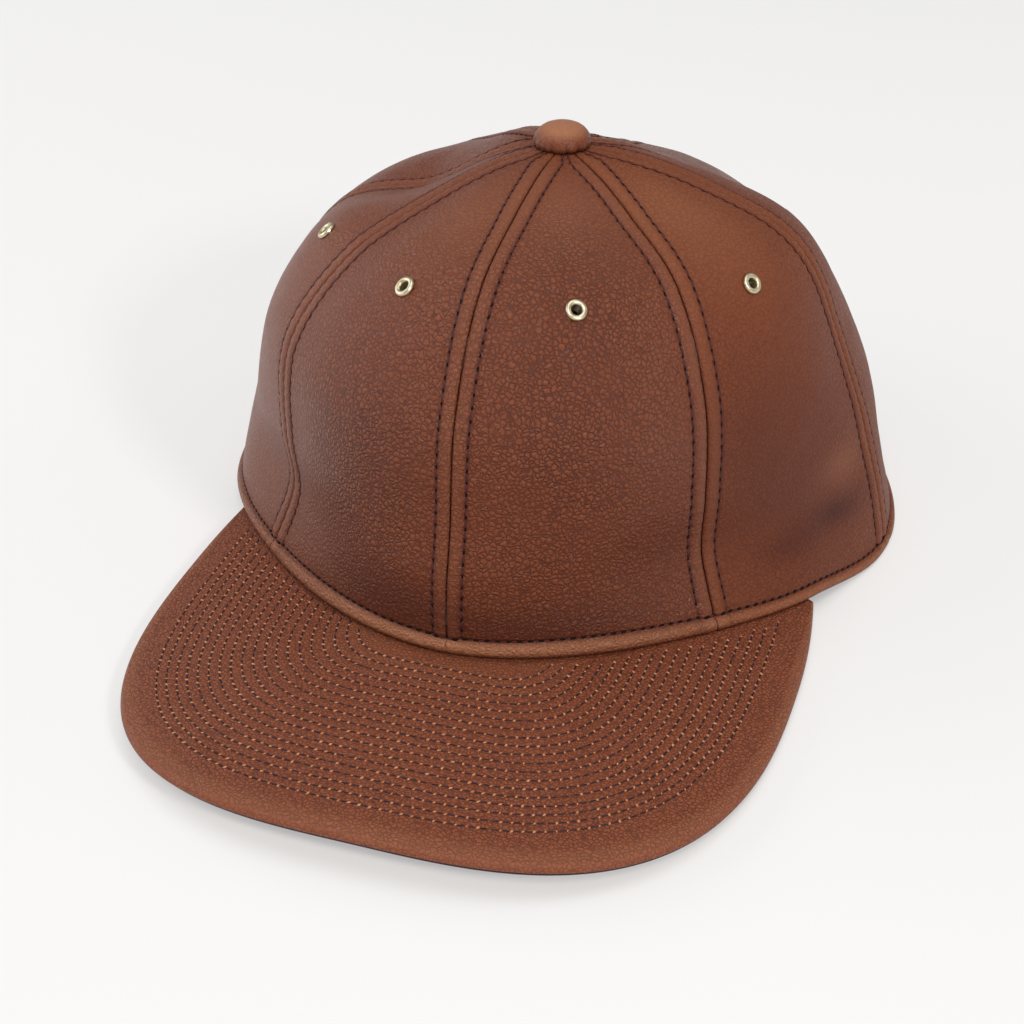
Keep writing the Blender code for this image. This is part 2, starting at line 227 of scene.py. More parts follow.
def seatHeight(x, turn):
    # the crown's bottom edge lies on the brim at the front, and on the floor behind it
    onBrim = 1 - ease(brim["endTurn"] + 1, brim["endTurn"] + 20, abs((turn + 180) % 360 - 180))
    return onBrim * (brimTop(x) + brim["fit"])


def crownColumn(turn):
    # one line up the crown: a function from rise to point
    foot = rimPoint(turn)
    shares = [1.0] + [aroundCrown(name, turn) for name in seamColumns[2:7]] + [1.0]
    seat = seatHeight(foot.x, turn)
    amount, middle, reach = crown["pinch"]
    pinch = amount * exp(-(((turn + 180) % 360 - 180 - middle) / reach) ** 2)

    def point(rise):
        share = readCurve(swellRises, shares, rise, endSlope=0.0) * (1 - pinch * (1 - ease(0, 34, rise)))
        inward = share * cos(radians(rise))
        climb = seat * (1 - sin(radians(rise))) ** 1.5
        return Vector((foot.x * inward, foot.y * inward - crown["peakForward"] * (1 - inward),
                       climb + crown["height"] * share * sin(radians(rise))))

    return point


def hemScale(turn):
    away = abs((turn + 180) % 360 - 180)
    return 1 + (crown["hemSides"] - 1) * ease(14, 58, away)


def newPiece(name, bm, material, replaces):
    # the finished bmesh as a piece of the cap, moved from the opening's centre to the frame's place
    bmesh.ops.translate(bm, verts=bm.verts, vec=openingCentre)
    mesh = bpy.data.meshes.new(name)
    bm.to_mesh(mesh)
    bm.free()
    mesh.shade_smooth()
    mesh.materials.append(material)
    piece = bpy.data.objects.new(name, mesh)
    scene.collection.objects.link(piece)
    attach(piece, "root")
    if replaces:
        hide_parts(*replaces)
    return piece


# leather
# pebble is one pebble of the tumbled grain, fine the smaller cells on it, relief the depth of the grain in metres,
# and wax the weight and roughness of the thin finish
grain = {
    "warp": 0.75 * mm,        # how far the pebbles are pulled out of round
    "mottle": 16 * mm,        # patches of deeper and lighter dye
}


def tumbledLeather(name, look):
    # full-grain cowhide, drum tumbled and waxed: soft pebbles, a satin face, and painted shade darkening the creases
    material = bpy.data.materials.new(name)
    material.use_nodes = True
    tree = material.node_tree
    shader = tree.nodes["Principled BSDF"]
    place = addNode(tree, "TexCoord").outputs["Object"]
    stir = addNode(tree, "TexNoise", {"Scale": 1 / (2.4 * mm), "Detail": 3.0, "Roughness": 0.6}, {"Vector": place})
    stirred = addNode(tree, "VectorMath", {1: (0.5, 0.5, 0.5)}, {0: stir.outputs["Color"]}, operation="SUBTRACT")
    pulled = addNode(tree, "VectorMath", {"Scale": grain["warp"] * 2}, {0: stirred.outputs[0]}, operation="SCALE")
    warped = addNode(tree, "VectorMath", None, {0: place, 1: pulled.outputs[0]}, operation="ADD").outputs[0]
    pebble = addNode(tree, "TexVoronoi", {"Scale": 1 / look["pebble"]}, {"Vector": warped},
                     feature="DISTANCE_TO_EDGE").outputs["Distance"]
    fine = addNode(tree, "TexVoronoi", {"Scale": 1 / look["fine"]}, {"Vector": warped},
                   feature="DISTANCE_TO_EDGE").outputs["Distance"]
    pores = addNode(tree, "TexNoise", {"Scale": 1 / (0.25 * mm), "Detail": 3.0}, {"Vector": place}).outputs["Fac"]
    mottle = addNode(tree, "TexNoise", {"Scale": 1 / grain["mottle"], "Detail": 4.0, "Roughness": 0.6},
                     {"Vector": place}).outputs["Fac"]
    dome = addNode(tree, "MapRange", {"From Min": 0.0, "From Max": 0.5}, {"Value": pebble},
                   interpolation_type="SMOOTHSTEP").outputs[0]
    fineDome = addNode(tree, "MapRange", {"From Min": 0.0, "From Max": 0.4}, {"Value": fine},
                       interpolation_type="SMOOTHSTEP").outputs[0]
    groove = addNode(tree, "MapRange", {"From Min": 0.02, "From Max": 0.17, "To Min": 1.0, "To Max": 0.0},
                     {"Value": pebble}, interpolation_type="SMOOTHSTEP").outputs[0]
    fineGroove = addNode(tree, "MapRange", {"From Min": 0.0, "From Max": 0.16, "To Min": 0.4, "To Max": 0.0},
                         {"Value": fine}, interpolation_type="SMOOTHSTEP").outputs[0]
    graininess = addNode(tree, "Attribute", attribute_name="grain").outputs["Fac"]
    stainAndShade = addNode(tree, "Attribute", attribute_name="stainAndShade").outputs["Fac"]
    wornAndSheen = addNode(tree, "Attribute", attribute_name="wornAndSheen").outputs["Fac"]

    # height of the grain: domed pebbles with a groove between them, smaller cells and pores
    sunk = addNode(tree, "Math", {1: -0.3}, {0: groove, 2: dome}, operation="MULTIPLY_ADD").outputs[0]
    coarse = addNode(tree, "Math", None, {0: sunk, 1: graininess}, operation="MULTIPLY").outputs[0]
    cells = addNode(tree, "Math", {1: look["fineShare"]}, {0: fineDome}, operation="MULTIPLY").outputs[0]
    both = addNode(tree, "Math", None, {0: coarse, 1: cells}, operation="ADD").outputs[0]
    height = addNode(tree, "Math", {1: look["poreShare"]}, {0: pores, 2: both}, operation="MULTIPLY_ADD").outputs[0]
    bump = addNode(tree, "Bump", {"Strength": 1.0, "Distance": look["relief"]}, {"Height": height})
    tree.links.new(bump.outputs["Normal"], shader.inputs["Normal"])

    # colour: painted shade in the creases, darker on stains and in painted shade, paler where painted highlight and
    # wear are laid on
    # painted shade: the creases between the pebbles are darkened in colour
    creaseShadeMask = addNode(tree, "Math", None, {0: groove, 1: graininess, 2: fineGroove}, operation="MULTIPLY_ADD",
                      use_clamp=True).outputs[0]
    creaseShaded = addNode(tree, "Mix", {6: linear(look["face"]), 7: linear(look["creaseShade"])}, {0: creaseShadeMask},
                  data_type="RGBA").outputs[2]
    patchy = addNode(tree, "MapRange", {"From Min": 0.32, "From Max": 0.68, "To Min": 0.0, "To Max": 1.0},
                     {"Value": mottle}).outputs[0]
    dyed = addNode(tree, "Mix", {7: linear(look["patch"])},
                   {6: creaseShaded, 0: addNode(tree, "Math", {1: look["patchShare"]}, {0: patchy},
                                       operation="MULTIPLY").outputs[0]}, data_type="RGBA").outputs[2]
    # darker where stains and painted shade are laid on
    darkened = addNode(tree, "Mix", {7: linear(look["stainAndShade"])}, {0: stainAndShade, 6: dyed}, data_type="RGBA").outputs[2]
    # paler where painted highlight and wear are laid on
    highlighted = addNode(tree, "Mix", {7: linear(look["wornAndSheen"])}, {0: wornAndSheen, 6: darkened}, data_type="RGBA").outputs[2]
    tree.links.new(highlighted, shader.inputs["Base Color"])

    # the tops of the pebbles are polished by handling
    low, high = look["roughness"]
    polish = addNode(tree, "MapRange", {"From Min": 0.1, "From Max": 1.1, "To Min": high, "To Max": low},
                     {"Value": height}).outputs[0]
    tree.links.new(polish, shader.inputs["Roughness"])
    shader.inputs["IOR"].default_value = 1.47
    shader.inputs["Specular IOR Level"].default_value = look["shine"]
    # a thin wax finish, which glints on the pebbles
    shader.inputs["Coat Weight"].default_value, shader.inputs["Coat Roughness"].default_value = look["wax"]
    tree.links.new(bump.outputs["Normal"], shader.inputs["Coat Normal"])
    return material


crownLeather = tumbledLeather("tumbledCowhide", {
    "pebble": 1.25 * mm, "fine": 0.6 * mm, "relief": 0.00025, "fineShare": 0.24, "poreShare": 0.10,
    "face": "84482D", "creaseShade": "54281A", "patch": "713923", "patchShare": 0.4, "stainAndShade": "3E1B17",
    "wornAndSheen": "AE7656", "roughness": (0.30, 0.52), "shine": 0.17, "wax": (0.26, 0.16)})
# the right side is cut from a flatter, duller part of the hide
smoothLeather = tumbledLeather("smoothCowhide", {
    "pebble": 1.3 * mm, "fine": 0.65 * mm, "relief": 0.00018, "fineShare": 0.24, "poreShare": 0.10,
    "face": "84482D", "creaseShade": "562A1A", "patch": "713923", "patchShare": 0.4, "stainAndShade": "3E1B17",
    "wornAndSheen": "AE7656", "roughness": (0.38, 0.58), "shine": 0.13, "wax": (0.10, 0.25)})
brimLeather = tumbledLeather("quiltedCowhide", {
    "pebble": 1.05 * mm, "fine": 0.5 * mm, "relief": 0.00021, "fineShare": 0.30, "poreShare": 0.14,
    "face": "945236", "creaseShade": "582D1D", "patch": "80442C", "patchShare": 0.3, "stainAndShade": "3E1B17",
    "wornAndSheen": "AE7656", "roughness": (0.4, 0.62), "shine": 0.24, "wax": (0.12, 0.2)})
underLeather = tumbledLeather("plainCowhide", {
    "pebble": 1.2 * mm, "fine": 0.5 * mm, "relief": 0.00008, "fineShare": 0.3, "poreShare": 0.3,
    "face": "4A2A28", "creaseShade": "351C1B", "patch": "402322", "patchShare": 0.3, "stainAndShade": "2C1716",
    "wornAndSheen": "6B4237", "roughness": (0.55, 0.75), "shine": 0.3, "wax": (0.0, 0.3)})
print("leather")


def plainFinish(name, colour, roughness, metallic=0.0, sheen=0.0, mottle=None):
    # a fine finish with a slight unevenness of colour: mottle is its second colour and its size
    material = bpy.data.materials.new(name)
    material.use_nodes = True
    tree = material.node_tree
    shader = tree.nodes["Principled BSDF"]
    place = addNode(tree, "TexCoord").outputs["Object"]
    uneven = addNode(tree, "TexNoise", {"Scale": 1 / mottle[1], "Detail": 3.0}, {"Vector": place}).outputs["Fac"]
    spread = addNode(tree, "MapRange", {"From Min": 0.35, "From Max": 0.65}, {"Value": uneven}).outputs[0]
    tint = addNode(tree, "Mix", {6: linear(colour), 7: linear(mottle[0])}, {0: spread}, data_type="RGBA").outputs[2]
    tree.links.new(tint, shader.inputs["Base Color"])
    wornAndSheen = addNode(tree, "MapRange", {"To Min": roughness * 0.85, "To Max": roughness * 1.2}, {"Value": uneven})
    tree.links.new(wornAndSheen.outputs[0], shader.inputs["Roughness"])
    shader.inputs["Metallic"].default_value = metallic
    shader.inputs["Specular IOR Level"].default_value = 0.5 if metallic else 0.2
    shader.inputs["Sheen Weight"].default_value = sheen
    return material


# bonded polyester sewing thread, plum brown on the crown and nearly black on the brim
crownThread = plainFinish("plumPolyesterThread", "582D2A", 0.6, mottle=("442628", 1.2 * mm))
# the needle holes are not cut: dark blobs of painted shade sit in their place
holeShade = plainFinish("holeShade", "120807", 0.9, mottle=("1A0D0B", 1 * mm))
brimThread = plainFinish("darkPolyesterThread", "211A24", 0.5, mottle=("352A33", 1.5 * mm))
# pale flecks of painted highlight, where the leather swells between the brim's stitches
fleckHighlight = plainFinish("fleckHighlight", "D69A6E", 0.6, mottle=("BB7A52", 2 * mm))
# plated brass, rubbed pale
paleBrass = plainFinish("paleBrass", "E8DFC6", 0.34, metallic=1.0, mottle=("D2C39C", 1.5 * mm))

# crown panels
# Across a seam, in mm from the join: how high the padded band stands, as a share of its raise.
bandProfile = ((0.02, -0.35), (0.28, 0.30), (0.6, 0.68), (1.05, 0.9), (1.6, 0.99), (2.2, 1.0), (2.8, 0.86),
               (3.3, 0.58), (3.7, 0.24), (3.95, -0.03), (4.1, -0.15), (4.3, -0.08), (4.7, 0.06), (5.3, 0.16),
               (6.3, 0.12), (8.0, 0.0))
topstitchAt = 4.1
# Up the rolled hem: height as a share of the hem's, and bulge as a share of its own.
hemHeights = (0.0, 0.28, 0.58, 0.88, 1.0, 1.12, 1.5)
hemBulges = (0.1, 0.85, 1.0, 0.6, -0.28, -0.12, 0.0)
hemRows = (0, 0.05, 0.11, 0.18, 0.26, 0.35, 0.45, 0.55, 0.65, 0.74, 0.82, 0.88, 0.93, 0.97, 1.0, 1.03, 1.07,
           1.13, 1.21, 1.3, 1.4)
# Patches of the hide: turn and rise, how far each reaches, and how much darker (stains, and painted shade on the
# right side), paler (painted highlight near the tops of the panels) or grainier it is.
patches = [dict(zip(("kind", "turn", "rise", "turnReach", "riseReach", "amount"), row)) for row in (
    ("stainAndShade", 72, 12, 7, 2.5, 0.45), ("stainAndShade", 60, 9, 7, 2.5, 0.25), ("wornAndSheen", 74, 19, 6, 3, 0.18),
    ("stainAndShade", 16, 5, 18, 4, 0.45), ("stainAndShade", -12, 7, 14, 5, 0.5), ("stainAndShade", 34, 14, 8, 8, 0.2),
    ("stainAndShade", 64, 20, 20, 24, 0.46), ("wornAndSheen", 60, 64, 16, 14, 0.22), ("stainAndShade", 50, 30, 9, 14, 0.18),
    ("wornAndSheen", 20, 66, 16, 10, 0.15), ("wornAndSheen", -16, 64, 14, 12, 0.2),
    ("grain", 19, 44, 16, 20, 0.65), ("grain", -18, 26, 14, 16, 0.5), ("grain", -10, 50, 14, 16, 0.2),
    ("grain", 18, 12, 16, 10, 0.25), ("grain", 62, 30, 18, 24, -0.3), ("grain", 20, 74, 30, 8, -0.3),
    ("grain", -60, 40, 16, 30, -0.25),
)]
baseGrain = 0.55


def patchAmount(kind, turn, rise):
    total = 0.0
    for patch in patches:
        if patch["kind"] == kind:
            away = hypot((turn - patch["turn"]) / patch["turnReach"], (rise - patch["rise"]) / patch["riseReach"])
            if away < 2.5:
                total += patch["amount"] * exp(-away * away)
    return total


def bandShare(offset, width):
    # where an offset from the join falls across a panel this wide; near the peak the bands draw in
    top = min(topstitchAt * mm / width, 0.40)
    if offset <= topstitchAt:
        return top * offset / topstitchAt if top == 0.40 else offset * mm / width
    rest = (offset - topstitchAt) / (bandProfile[-1][0] - topstitchAt)
    return top + min((offset - topstitchAt) * mm / width, (0.49 - top) * rest)


hemTop = degrees(asin(hemRows[-1] * crown["hemHeight"] / crown["height"]))
rises = [degrees(asin(height * crown["hemHeight"] / crown["height"])) for height in hemRows]
stepsUp = round((crown["holeRise"] - hemTop) / crown["rowStep"])
rises += [hemTop + (crown["holeRise"] - hemTop) * (k + 1) / stepsUp for k in range(stepsUp)]
bandCount = len(bandProfile)
columnCount = 2 * bandCount + crown["fieldColumns"]
grooveRow = hemRows.index(1.0)
topstitchColumn = [offset for offset, _ in bandProfile].index(topstitchAt)
stitchLines, hemLine, eyeletSeats = [], [], []


def slidRise(j, turn):
    # the rise of row j at a turn: the hem's rows come down with the hem, and the rows above even out
    rise = rises[j]
    return rise * (hemScale(turn) + (1 - hemScale(turn)) * ease(0, 16, rise))


def seamLengths(turn):
    # length of the seam from the hem's foot to each row
    point = crownColumn(turn)
    spots = [point(slidRise(j, turn)) for j in range(len(rises))]
    lengths = [0.0]
    for low, high in zip(spots, spots[1:]):
        lengths.append(lengths[-1] + (high - low).length)
    return lengths


def crownPanel(index):
    seam, following = seams[index], seams[(index + 1) % 8]
    span = (following["turn"] - seam["turn"]) % 360
    left, right = crownColumn(seam["turn"]), crownColumn(seam["turn"] + span)
    widths = [(right(rise) - left(rise)).length for rise in rises]
    lengths = (seamLengths(seam["turn"]), seamLengths(seam["turn"] + span))
    bm = bmesh.new()
    bmesh.ops.create_grid(bm, x_segments=columnCount - 1, y_segments=len(rises) - 1, size=1)
    bm.verts.ensure_lookup_table()
    layers = {name: bm.verts.layers.float.new(name) for name in ("grain", "stainAndShade", "wornAndSheen", "up")}
    spots = {}
    for vert in bm.verts:
        i = round((vert.co.x + 1) / 2 * (columnCount - 1))
        j = round((vert.co.y + 1) / 2 * (len(rises) - 1))
        near = min(i, columnCount - 1 - i)
        edge = bandShare(bandProfile[-1][0], widths[j])
        if near < bandCount:
            share = bandShare(bandProfile[near][0], widths[j])
        else:
            share = edge + (1 - 2 * edge) * (near - bandCount + 1) / (crown["fieldColumns"] + 1)
        if i > columnCount - 1 - i:
            share = 1 - share
        spots[vert] = (i, j, near, share)
        turn = seam["turn"] + span * share
        vert.co = crownColumn(turn)(slidRise(j, turn))
    bm.normal_update()
    bm.faces.ensure_lookup_table()
    if bm.faces[0].normal.dot(bm.faces[0].calc_center_median()) < 0:
        bmesh.ops.reverse_faces(bm, faces=bm.faces[:])
        bm.normal_update()
    moved = {}
    for vert, (i, j, near, share) in spots.items():
        turn = seam["turn"] + span * share
        rise = slidRise(j, turn)
        normal = vert.normal.copy()
        normal.z *= min(1, rise / 8)
        normal.normalize()
        side = 0 if i < columnCount / 2 else 1
        along = lengths[side][j] / crown["stitch"]
        fade = min(1, (90 - rise) / 14)
        up = crown["puff"] * sin(pi * share) * sin(radians(2 * rise))
        if near < bandCount:
            offset, lift = bandProfile[near]
            onHem = j < grooveRow
            up += crown["bandRaise"] * fade * (min(lift, 0) * 0.7 if onHem else lift)
            swellHere = exp(-((offset - topstitchAt) / 1.1) ** 2) + 0.6 * exp(-((offset - 0.9) / 0.7) ** 2)
            up += crown["pucker"] * swellHere * cos(2 * pi * along)
        scale = hemScale(turn)
        height = sin(radians(rise)) * crown["height"] / (crown["hemHeight"] * scale)
        if height < hemHeights[-1]:
            up += crown["hemBulge"] * (0.4 + 0.6 * scale) * readCurve(hemHeights, hemBulges, height)
        calm = ease(2, 12, rise)
        up += crown["wave"] * calm * (noise.noise(vert.co * 55) + 0.5 * noise.noise(vert.co * 140))
        spot = vert.co + normal * up
        if j == 0:
            spot.z = seatHeight(spot.x, turn)
        moved[vert] = (spot, normal)
        onBand = near < bandCount and bandProfile[near][0] < topstitchAt
        hemShare = 1 - ease(0.9, 1.02, height)
        ridge = exp(-((bandProfile[near][0] - 1.6) / 1.3) ** 2) if onBand else 0.0
        creaseShade = exp(-((bandProfile[near][0] - topstitchAt) / 0.45) ** 2) if near < bandCount else 0.0
        join = exp(-(bandProfile[near][0] / 0.22) ** 2) if near < bandCount else 0.0
        hemCreaseShade = exp(-((height - 1.03) / 0.07) ** 2) + exp(-((height + 0.02) / 0.12) ** 2)
        vert[layers["grain"]] = max(baseGrain + patchAmount("grain", turn, rise) - 0.12 * onBand
                                    + 0.25 * hemShare, 0.15)
        # darker: patches of stain and of painted shade, the dark joins, and painted shade in the topstitch groove,
        # the hem's groove and along the foot
        vert[layers["stainAndShade"]] = min(patchAmount("stainAndShade", turn, rise) * (1 - hemShare) + 0.45 * creaseShade + 0.8 * join
                                   + 0.6 * min(hemCreaseShade, 1), 1)
        # paler: painted highlight on the band ridges, on the hem roll (strongest at the front) and on the tops of the
        # panels, with the pale patches of the table
        vert[layers["wornAndSheen"]] = min(patchAmount("wornAndSheen", turn, rise) + 0.09 * ridge * (1 - join)
                                   + hemShare * exp(-((height - 0.6) / 0.36) ** 2)
                                   * (0.34 + 0.62 * exp(-(turn / 26) ** 2)), 1)
        vert[layers["up"]] = height
    for vert, (spot, normal) in moved.items():
        vert.co = spot
    grid = {(i, j): vert for vert, (i, j, near, share) in spots.items()}
    rows = range(len(rises))
    for side, column in ((0, topstitchColumn), (1, columnCount - 1 - topstitchColumn)):
        path = [(moved[grid[column, j]][0], moved[grid[column, j]][1], lengths[side][j]) for j in rows]
        stitchLines.append((path, side))
    hemLine.extend(moved[grid[i, grooveRow]] for i in range(1, columnCount))

    # the eyelet's hole: faces inside it go, and the edge that is left is drawn to a circle
    share, rise = seam["eyelet"], seam["eyeletRise"]
    nearest = min(spots, key=lambda v: abs(spots[v][3] - share) * 60 + abs(rises[spots[v][1]] - rise))
    point = crownColumn(seam["turn"] + span * share)(rise)
    normal = moved[nearest][1]
    middle = point + normal * (moved[nearest][0] - point).dot(normal)
    eyeletSeats.append((middle, normal))
    inside = [f for f in bm.faces if (f.calc_center_median() - middle).length < crown["eyeletCut"]]
    bmesh.ops.delete(bm, geom=inside, context="FACES")
    for vert in bm.verts:
        if vert.is_boundary and (vert.co - middle).length < 2.5 * crown["eyeletHole"]:
            flat = (vert.co - middle) - normal * (vert.co - middle).dot(normal)
            vert.co += flat.normalized() * crown["eyeletHole"] - flat

    # the wall, thicker where the hem is rolled
    made = bmesh.ops.solidify(bm, geom=bm.faces[:], thickness=crown["leather"])
    upLayer, grainLayer = bm.verts.layers.float["up"], bm.verts.layers.float["grain"]
    bm.normal_update()
    inner = [v for v in made["geom"] if isinstance(v, bmesh.types.BMVert)]
    for vert in inner:
        rolled = 1 - ease(0.85, 1.15, vert[upLayer])
        outwards = Vector((vert.co.x, vert.co.y, 0)).normalized()
        vert.co -= outwards * rolled * (crown["hemWall"] - crown["leather"])
        turn = degrees(atan2(vert.co.x, -vert.co.y))
        vert.co.z = max(vert.co.z, seatHeight(vert.co.x, turn))
        vert[grainLayer] = 0.15
    bmesh.ops.recalc_face_normals(bm, faces=bm.faces)
    bm.verts.layers.float.remove(upLayer)
    hide = smoothLeather if index + 1 in (6, 7) else crownLeather
    return newPiece(f"crownPanel{index + 1}", bm, hide, [f"crown_panel_{index + 1}"])


for index in range(8):
    crownPanel(index)
print("crown panels")

# brim
stitchRows = {
    "count": 19,
    "halfWidth": (0.0720, 0.0257),      # of the outermost row and the innermost
    "front": (-0.1610, -0.1093),        # how far forward each reaches
    "squareness": (2.8, 4.2),
    "widest": -0.0804,
    "tuck": 0.0012,
    "pitch": 0.00245, "thread": 0.00046, "threadDepth": 0.00014, "threadLift": 0.00006,
}
# between two stitches of the brim, a pale fleck of painted highlight sits where the leather swells
flecks = {
    "share": 0.92,                      # of the holes that show one
    "length": 0.00050, "width": 0.00027, "depth": 0.00016,      # half of each
    "sizes": (0.7, 1.25), "slants": (30, 85), "lift": 0.00008, "astray": 0.00012,
}


def brimOutline(place):
    tip = rimPoint(0).y - brim["length"]
    widest = tip + brim["frontArc"]
    end = rimPoint(brim["endTurn"]).y
    side = 1 if place >= 0 else -1
    if abs(place) <= brim["frontShare"]:
        angle = pi / 2 * abs(place) / brim["frontShare"]
        x = brim["halfWidth"] * bent(sin(angle), 2 / brim["squareness"])
        y = widest - brim["frontArc"] * bent(cos(angle), 2 / brim["squareness"])
    else:
        back = (abs(place) - brim["frontShare"]) / (1 - brim["frontShare"])
        x = brim["halfWidth"] - brim["tuck"] * back ** 2
        y = widest + (end - widest) * back
    return Vector((side * x + brim["lean"] * (end - y) / (end - tip), y, 0))


def evenPlaces(count):
    # places along the outline, an equal length of edge apart
    fine = [k / 1000 - 1 for k in range(2001)]
    spots = [brimOutline(place) for place in fine]
    lengths = [0.0]
    for low, high in zip(spots, spots[1:]):
        lengths.append(lengths[-1] + (high - low).length)
    places, k = [], 0
    for step in range(count + 1):
        wanted = lengths[-1] * step / count
        while k < 1999 and lengths[k + 1] < wanted:
            k += 1
        share = (wanted - lengths[k]) / (lengths[k + 1] - lengths[k])
        places.append(fine[k] + share / 1000)
    return places


def rowShape(k):
    # half width, front, squareness of stitch row k, which need not be whole
    share = k / (stitchRows["count"] - 1)
    return [low + (high - low) * share for low, high in
            (stitchRows["halfWidth"], stitchRows["front"], stitchRows["squareness"])]


def rowAt(x, y):
    # the stitch row that passes through a point of the brim
    low, high = -6.0, 24.0
    for _ in range(16):
        k = (low + high) / 2
        half, front, squareness = rowShape(k)
        if y < stitchRows["widest"]:
            ahead = (stitchRows["widest"] - y) / (stitchRows["widest"] - front)
            outside = (abs(x) / half) ** squareness + ahead ** squareness > 1
        else:
            outside = abs(x) > half
        if outside:
            high = k
        else:
            low = k
    return (low + high) / 2


def quiltDepth(k):
    # how far the top is drawn in at a stitch row, and how far it swells between two
    if not -0.6 < k < stitchRows["count"] - 0.4:
        return 0.0
    away = abs(k - round(k))
    fade = ease(-0.6, 0.0, k) * (1 - ease(stitchRows["count"] - 1, stitchRows["count"] - 0.4, k))
    return fade * (exp(-(away / 0.17) ** 2) - 0.25)


def brimSurface(x, y, k):
    return brimTop(x) - brim["quilt"] * quiltDepth(k) + brim["wave"] * noise.noise(Vector((x * 40, y * 40, 0)))


def brimStrip(bm, places, rows, lipLayers):
    # a wrapped strip: rows are (along from the crown 0 to 1, inset from the edge, drop)
    bmesh.ops.create_grid(bm, x_segments=len(places) - 1, y_segments=len(rows) - 1, size=1)
    for vert in bm.verts:
        i = round((vert.co.x + 1) / 2 * (len(places) - 1))
        j = round((vert.co.y + 1) / 2 * (len(rows) - 1))
        along, inset, drop = rows[j]
        hem = rimPoint(brim["endTurn"] * places[i])
        inner = hem - hem.normalized() * brim["bite"]
        edge = brimOutline(places[i])
        most = min(1 / (edge - inner).length, brim["rollMost"] / brim["edgeRoll"])
        rolled = brim["edgeRoll"] * most
        share = rolled + (1 - rolled) * (1 - along) if along < 1 else inset * most
        point = edge.lerp(inner, share)
        point.z = brimTop(point.x) - drop
        lipLayers(vert, point, j)
        vert.co = point
    # the strip's two long edges meet at the crown, and its ends are closed
    bm.verts.ensure_lookup_table()
    count, last = len(places), len(places) * (len(rows) - 1)
    for i in range(count - 1):
        bm.faces.new([bm.verts[k] for k in (i, i + 1, last + i + 1, last + i)])
    ends = bmesh.ops.holes_fill(bm, edges=[e for e in bm.edges if e.is_boundary])
    bmesh.ops.triangulate(bm, faces=ends["faces"])
    bmesh.ops.recalc_face_normals(bm, faces=bm.faces)


edgeTop = ((1.0, 0.0), (0.8, 0.01), (0.6, 0.03), (0.43, 0.065), (0.28, 0.13), (0.16, 0.23), (0.07, 0.36),
           (0.02, 0.48), (0.0, 0.6))
edgeUnder = ((0.02, 0.72), (0.08, 0.83), (0.17, 0.91), (0.3, 0.965), (0.5, 0.99), (0.75, 1.0), (1.0, 1.0))
topRows = [(k / brim["across"], 0, 0) for k in range(brim["across"])]
topRows += [(1, inset * brim["edgeRoll"], drop * brim["upper"]) for inset, drop in edgeTop + edgeUnder]
topRows += [(along, 0, brim["upper"]) for along in (0.75, 0.5, 0.25, 0.0)]
bm = bmesh.new()
brimLayers = {name: bm.verts.layers.float.new(name) for name in ("grain", "stainAndShade", "wornAndSheen")}


def brimLook(vert, point, j):
    onTop = j < brim["across"] + 4
    k = rowAt(point.x, point.y)
    drawn = quiltDepth(k) if onTop else 0.0
    fade = ease(0, 4, j)
    if onTop:
        point.z += (brimSurface(point.x, point.y, k) - brimTop(point.x)) * fade
    vert[brimLayers["grain"]] = 0.8 if onTop else 0.5
    # painted shade in the channels that the stitch rows draw in
    vert[brimLayers["stainAndShade"]] = 0.22 * max(drawn, 0)
    edgeShare = (j - brim["across"]) / len(edgeTop)
    # paler: painted highlight along the edge roll, and painted light on the rows next to the crown
    vert[brimLayers["wornAndSheen"]] = 0.22 * exp(-((edgeShare - 0.1) / 0.5) ** 2) + 0.10 * ease(14, 18, k)


brimStrip(bm, evenPlaces(brim["places"]), topRows, brimLook)
newPiece("brimTop", bm, brimLeather, ["brim_upper"])

underDrop = brim["upper"] + brim["fit"]
underRows = [(along, 0, underDrop) for along in (0, 0.25, 0.5, 0.75)]
underRows += [(1, brim["underInset"] + inset, underDrop + drop * brim["under"]) for inset, drop in
              ((0.0006, 0), (0.00015, 0.1), (0, 0.35), (0.00008, 0.7), (0.0003, 0.93), (0.0008, 1))]
underRows += [(along, 0, underDrop + brim["under"]) for along in (0.75, 0.5, 0.25, 0)]
bm = bmesh.new()
underLayers = {name: bm.verts.layers.float.new(name) for name in ("grain", "stainAndShade", "wornAndSheen")}


def underLook(vert, point, j):
    vert[underLayers["grain"]] = 0.3


brimStrip(bm, evenPlaces(150), underRows, underLook)
newPiece("brimUnderside", bm, underLeather, ["brim_under"])
print("brim")

# stitching
threads = {
    "crown": 0.00058, "hole": 0.00085,        # widths
    "holeLength": 0.00074, "holeDepth": 0.00016, "threadShare": 0.40, "threadDepth": 0.00017,      # half of each
    "slant": 9,                               # degrees that a stitch leans off its line
    "hemPitch": 0.0026, "hemHoleLength": 0.00085, "hemHoleDepth": 0.00022, "hemThreadShare": 0.36,
    "hemThreadDepth": 0.0002,
}


def copiesOf(bm, places):
    # bm holds one finished shape: it is doubled until each place has one, and each copy moves to its own place
    whole = bpy.data.meshes.new("whole")        # through a mesh and back, so that the corners are in order
    bm.to_mesh(whole)
    bm.clear()
    bm.from_mesh(whole)
    bpy.data.meshes.remove(whole)
    corners = [vert.co.copy() for vert in bm.verts]
    size, wanted = len(corners), len(corners) * len(places)
    while len(bm.verts) < wanted:
        take = min(len(bm.verts), wanted - len(bm.verts))
        bm.verts.index_update()
        bm.verts.ensure_lookup_table()
        faces = [f for f in bm.faces if f.verts[0].index < take]
        edges = [e for e in bm.edges if e.verts[0].index < take]
        bmesh.ops.duplicate(bm, geom=bm.verts[:take] + edges + faces)
    for k, vert in enumerate(bm.verts):
        vert.co = places[k // size] @ corners[k % size]


